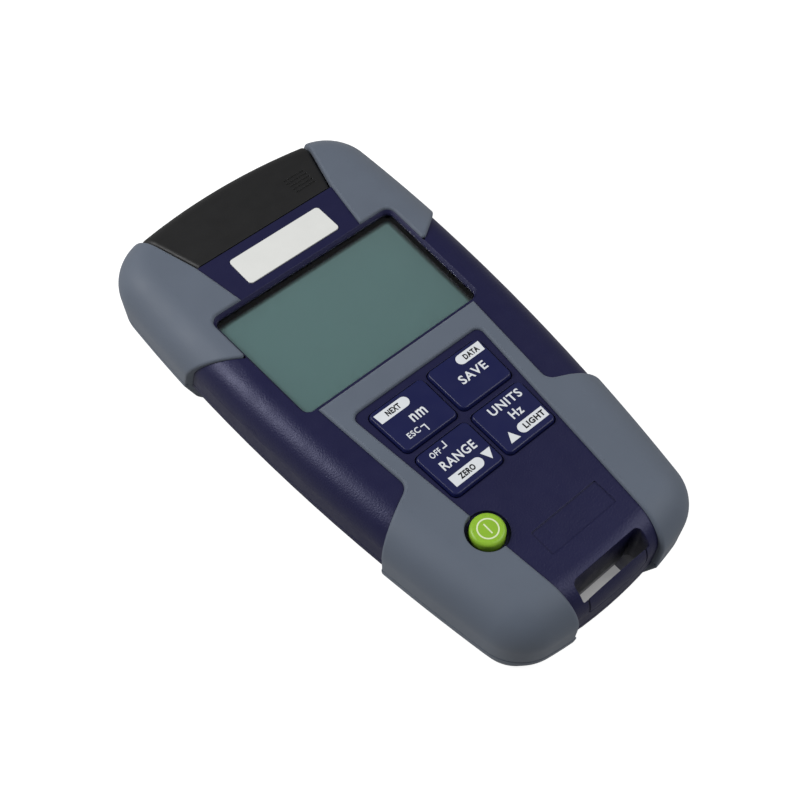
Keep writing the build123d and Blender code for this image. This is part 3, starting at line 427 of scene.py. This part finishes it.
def add_legends():
    """Plain words and signs printed on the four keys."""
    white = plain_ink("white_ink", PRINT_WHITE)
    dark = plain_ink("dark_ink", PRINT_DARK)
    upper_left = [tab(-16.4, -7.1, -13.4, -10.5, 1, UPPER_SLANT), hook(-10.0, -19.4, HOOK_WIDTH, 2.0, 1)]
    printed("wavelength_key_print", "wavelength_key", upper_left, white)
    word("wavelength_key_tab_word", "wavelength_key", "NEXT", -13.7, -9.7, -12.75, -11.15, dark,
         UPPER_LAYERS, DARK_WEIGHT)
    word("wavelength_key_word", "wavelength_key", "nm", -10.2, -5.9, -17.7, -15.5, white)
    word("wavelength_key_note", "wavelength_key", "ESC", -13.8, -10.5, -20.5, -18.9, white)

    upper_right = [tab(8.2, 16.2, -13.25, -10.4, -1, UPPER_SLANT)]
    printed("store_key_print", "store_key", upper_right, white)
    word("store_key_tab_word", "store_key", "DATA", 10.4, 14.9, -12.65, -11.05, dark,
         UPPER_LAYERS, DARK_WEIGHT)
    word("store_key_word", "store_key", "SAVE", 5.2, 13.2, -17.55, -15.05, white)

    lower_left = [
        tab(-14.1, -5.0, -36.3, -33.4, 1, LOWER_SLANT),
        [(-4.45, -33.4), (-3.05, -36.2), (-1.65, -33.4)],
        hook(-9.9, -27.2, HOOK_WIDTH, 1.8, -1),
    ]
    printed("auto_key_print", "auto_key", lower_left, white)
    word("auto_key_tab_word", "auto_key", "ZERO", -11.9, -7.4, -35.65, -34.05, dark,
         UPPER_LAYERS, DARK_WEIGHT)
    word("auto_key_word", "auto_key", "RANGE", -13.3, -3.5, -31.75, -29.25, white)
    word("auto_key_note", "auto_key", "OFF", -13.5, -10.5, -27.7, -26.1, white)

    lower_right = [
        tab(6.3, 14.7, -36.2, -33.3, -1, LOWER_SLANT),
        [(2.7, -36.2), (5.6, -36.2), (4.15, -33.4)],
    ]
    printed("unit_key_print", "unit_key", lower_right, white)
    word("unit_key_tab_word", "unit_key", "LIGHT", 8.0, 14.2, -35.55, -33.95, dark,
         UPPER_LAYERS, DARK_WEIGHT)
    word("unit_key_word", "unit_key", "UNITS", 4.4, 13.9, -28.4, -26.0, white)
    word("unit_key_low_word", "unit_key", "Hz", 7.6, 11.0, -31.95, -29.55, white)


def screen_outline(near, far):
    """Points round the screen opening, grown by near at its left and below, by far at its right and above."""
    radius = max(SCREEN_CORNER + min(near, far), LEAST_CORNER)
    high = SCREEN_TOP_Y + far - radius
    low = SCREEN_LOW_Y - near + radius
    centres = [(SCREEN_HALF_TOP + far - radius, high), (radius - SCREEN_HALF_TOP - near, high),
               (radius - SCREEN_HALF_LOW - near, low), (SCREEN_HALF_LOW + far - radius, low)]
    points = []
    for quarter, (x, y) in enumerate(centres):
        for i in range(ROUND_STEPS + 1):
            turn = math.pi / 2 * (quarter + i / ROUND_STEPS)
            points.append((x + radius * math.cos(turn), y + radius * math.sin(turn)))
    return points


def add_border_print_and_shade():
    """Black border on the underside of the window, partly print; its wider far sides and soft inner edge are
    painted shade.
    """
    outer = screen_outline(BORDER_OUTSIDE, BORDER_OUTSIDE)
    inner = screen_outline(-BORDER_NEAR, -BORDER_FAR)
    end = screen_outline(-FADE_NEAR, -FADE_FAR)

    def build(bm):
        shade = bm.verts.layers.float.new("ink")
        rows = []
        for points, z, ink in ((outer, BORDER_LOW_Z, 1), (outer, BORDER_TOP_Z, 1),
                               (inner, BORDER_TOP_Z, 1), (end, BORDER_TOP_Z, 0)):
            rows.append([bm.verts.new((x * MM, y * MM, z * MM)) for x, y in points])
            for vert in rows[-1]:
                vert[shade] = ink
        for near, far in zip(rows, rows[1:]):
            for i in range(len(outer)):
                j = (i + 1) % len(outer)
                bm.faces.new((near[i], near[j], far[j], far[i]))

    finish = Finish("border_print_and_painted_shade", BORDER_PRINT_AND_SHADE_BLACK, roughness=0.6, specular=0.2)
    finish.mottle(feature=4 * MM, amount=0.02)
    strength = finish.nodes.new("ShaderNodeAttribute")
    strength.attribute_name = "ink"
    finish.links.new(strength.outputs["Fac"], finish.shader.inputs["Alpha"])
    mesh_piece("screen_border_and_painted_shade", build, finish.material, "housing")


def add_button_print():
    """Ring with a bar inside it on the power button."""
    pale = plain_ink("pale_ink", BUTTON_PRINT)
    x, y = BUTTON_CENTRE
    half_line, half_bar = RING_LINE / 2, BAR_LENGTH / 2
    bar = [(x - half_line, y - half_bar), (x + half_line, y - half_bar),
           (x + half_line, y + half_bar), (x - half_line, y + half_bar)]
    steps = 4 * ROUND_STEPS
    inside, outside = RING_RADIUS - half_line, RING_RADIUS + half_line
    sectors = []
    for i in range(steps):
        corners = [(i, inside), (i, outside), (i + 1, outside), (i + 1, inside)]
        sectors.append([(x + r * math.cos(2 * math.pi * k / steps), y + r * math.sin(2 * math.pi * k / steps))
                        for k, r in corners])
    printed("power_button_print", "power_button", [bar] + sectors, pale)


def plain_ink(name, colour):
    """Matt screen-printed ink."""
    ink = Finish(name, colour, roughness=0.5, specular=0.3)
    ink.mottle(feature=1.5 * MM, amount=0.02)
    return ink.material


def add_camera():
    """Camera that sees the meter as the photograph does."""
    data = bpy.data.cameras.new("camera")
    data.lens = FOCAL_LENGTH
    data.sensor_width = SENSOR_WIDTH
    data.clip_start = CLIP_START
    data.clip_end = CLIP_END
    right = CAMERA_RIGHT.normalized()
    up = -CAMERA_DOWN.normalized()
    back = right.cross(up)
    turn = Matrix((right, up, back)).transposed().to_4x4()
    camera = bpy.data.objects.new("camera", data)
    camera.matrix_world = Matrix.Translation(CAMERA_PLACE) @ turn
    bpy.context.scene.collection.objects.link(camera)
    bpy.context.scene.camera = camera


def painted_shade_material(left, right, low_y, top_y, fade):
    """Painted shade: a grey, faintly glowing sheet that fades out over a margin on all four sides."""
    painted_shade = Finish("painted_shade_floor", PAINTED_SHADE_GREY, roughness=0.9, specular=0.1)
    painted_shade.mottle(feature=20 * MM, amount=0.01)
    painted_shade.shader.inputs["Emission Color"].default_value = WHITE
    painted_shade.shader.inputs["Emission Strength"].default_value = SHADE_GLOW
    split = painted_shade.nodes.new("ShaderNodeSeparateXYZ")
    painted_shade.links.new(painted_shade.place, split.inputs["Vector"])
    strength = None
    for axis, start, end in (("X", left - fade, left), ("X", right + fade, right),
                             ("Y", low_y - fade, low_y), ("Y", top_y + fade, top_y)):
        edge = painted_shade.remap(split.outputs[axis], 0, 1, start, end)
        if strength is None:
            strength = edge
            continue
        both = painted_shade.nodes.new("ShaderNodeMath")
        both.operation = "MULTIPLY"
        painted_shade.links.new(strength, both.inputs[0])
        painted_shade.links.new(edge, both.inputs[1])
        strength = both.outputs[0]
    painted_shade.links.new(strength, painted_shade.shader.inputs["Alpha"])
    return painted_shade.material


def flat_sheet(name, left, right, low_y, top_y, z, material):
    """Level rectangle that belongs to the stage."""
    mesh = bpy.data.meshes.new(name)
    corners = [(left, low_y, z), (right, low_y, z), (right, top_y, z), (left, top_y, z)]
    mesh.from_pydata(corners, [], [(0, 1, 2, 3)])
    sheet = bpy.data.objects.new(name, mesh)
    bpy.context.scene.collection.objects.link(sheet)
    mesh.materials.append(material)


def floor_material():
    """Pale floor that glows white to the camera and takes shadows."""
    material = bpy.data.materials.new("pale_floor")
    material.use_nodes = True
    nodes = material.node_tree.nodes
    links = material.node_tree.links
    surface = nodes["Principled BSDF"]
    surface.inputs["Base Color"].default_value = FLOOR_GREY
    surface.inputs["Roughness"].default_value = 0.9
    surface.inputs["Specular IOR Level"].default_value = 0.1
    glow = nodes.new("ShaderNodeEmission")
    glow.inputs["Color"].default_value = WHITE
    seen = nodes.new("ShaderNodeLightPath")
    either = nodes.new("ShaderNodeMath")
    either.operation = "MAXIMUM"
    links.new(seen.outputs["Is Camera Ray"], either.inputs[0])
    links.new(seen.outputs["Is Transmission Ray"], either.inputs[1])
    strength = nodes.new("ShaderNodeMath")
    strength.operation = "MULTIPLY"
    strength.inputs[1].default_value = FLOOR_GLOW
    links.new(either.outputs[0], strength.inputs[0])
    links.new(strength.outputs[0], glow.inputs["Strength"])
    add = nodes.new("ShaderNodeAddShader")
    links.new(surface.outputs["BSDF"], add.inputs[0])
    links.new(glow.outputs["Emission"], add.inputs[1])
    links.new(add.outputs["Shader"], nodes["Material Output"].inputs["Surface"])
    return material


def add_stage():
    """Pale floor, and the painted shade on it under the lanyard slot."""
    flat_sheet("floor", -FLOOR_REACH, FLOOR_REACH, -FLOOR_REACH, FLOOR_REACH, 0, floor_material())

    left, right, low_y, top_y = [edge * MM for edge in (SHADE_LEFT, SHADE_RIGHT, SHADE_LOW_Y, SHADE_TOP_Y)]
    fade = SHADE_FADE * MM
    flat_sheet("painted_shade_patch", left - fade, right + fade, low_y - fade, top_y + fade, SHADE_LIFT * MM,
               painted_shade_material(left, right, low_y, top_y, fade))


def add_lamp(name, place, size, power):
    """Square soft lamp that points at the origin."""
    data = bpy.data.lights.new(name, "AREA")
    data.shape = "SQUARE"
    data.size = size
    data.energy = power
    lamp = bpy.data.objects.new(name, data)
    lamp.location = place
    lamp.rotation_euler = (-Vector(place)).to_track_quat("-Z", "Y").to_euler()
    bpy.context.scene.collection.objects.link(lamp)


def add_light():
    """Studio light: a pale surround and a large softbox on each side."""
    world = bpy.data.worlds.new("surround")
    bpy.context.scene.world = world
    world.use_nodes = True
    nodes = world.node_tree.nodes
    links = world.node_tree.links
    background = nodes["Background"]
    background.inputs["Color"].default_value = WHITE
    seen = nodes.new("ShaderNodeLightPath")
    level = nodes.new("ShaderNodeMapRange")
    level.inputs["To Min"].default_value = SURROUND_LIGHT
    level.inputs["To Max"].default_value = SURROUND_SEEN
    links.new(seen.outputs["Is Camera Ray"], level.inputs["Value"])
    links.new(level.outputs["Result"], background.inputs["Strength"])
    add_lamp("left_softbox", *LEFT_SOFTBOX)
    add_lamp("right_softbox", *RIGHT_SOFTBOX)


assign(make_materials())
add_legends()
add_button_print()
add_border_print_and_shade()
add_camera()
add_stage()
add_light()
bpy.context.scene.view_settings.view_transform = "Standard"
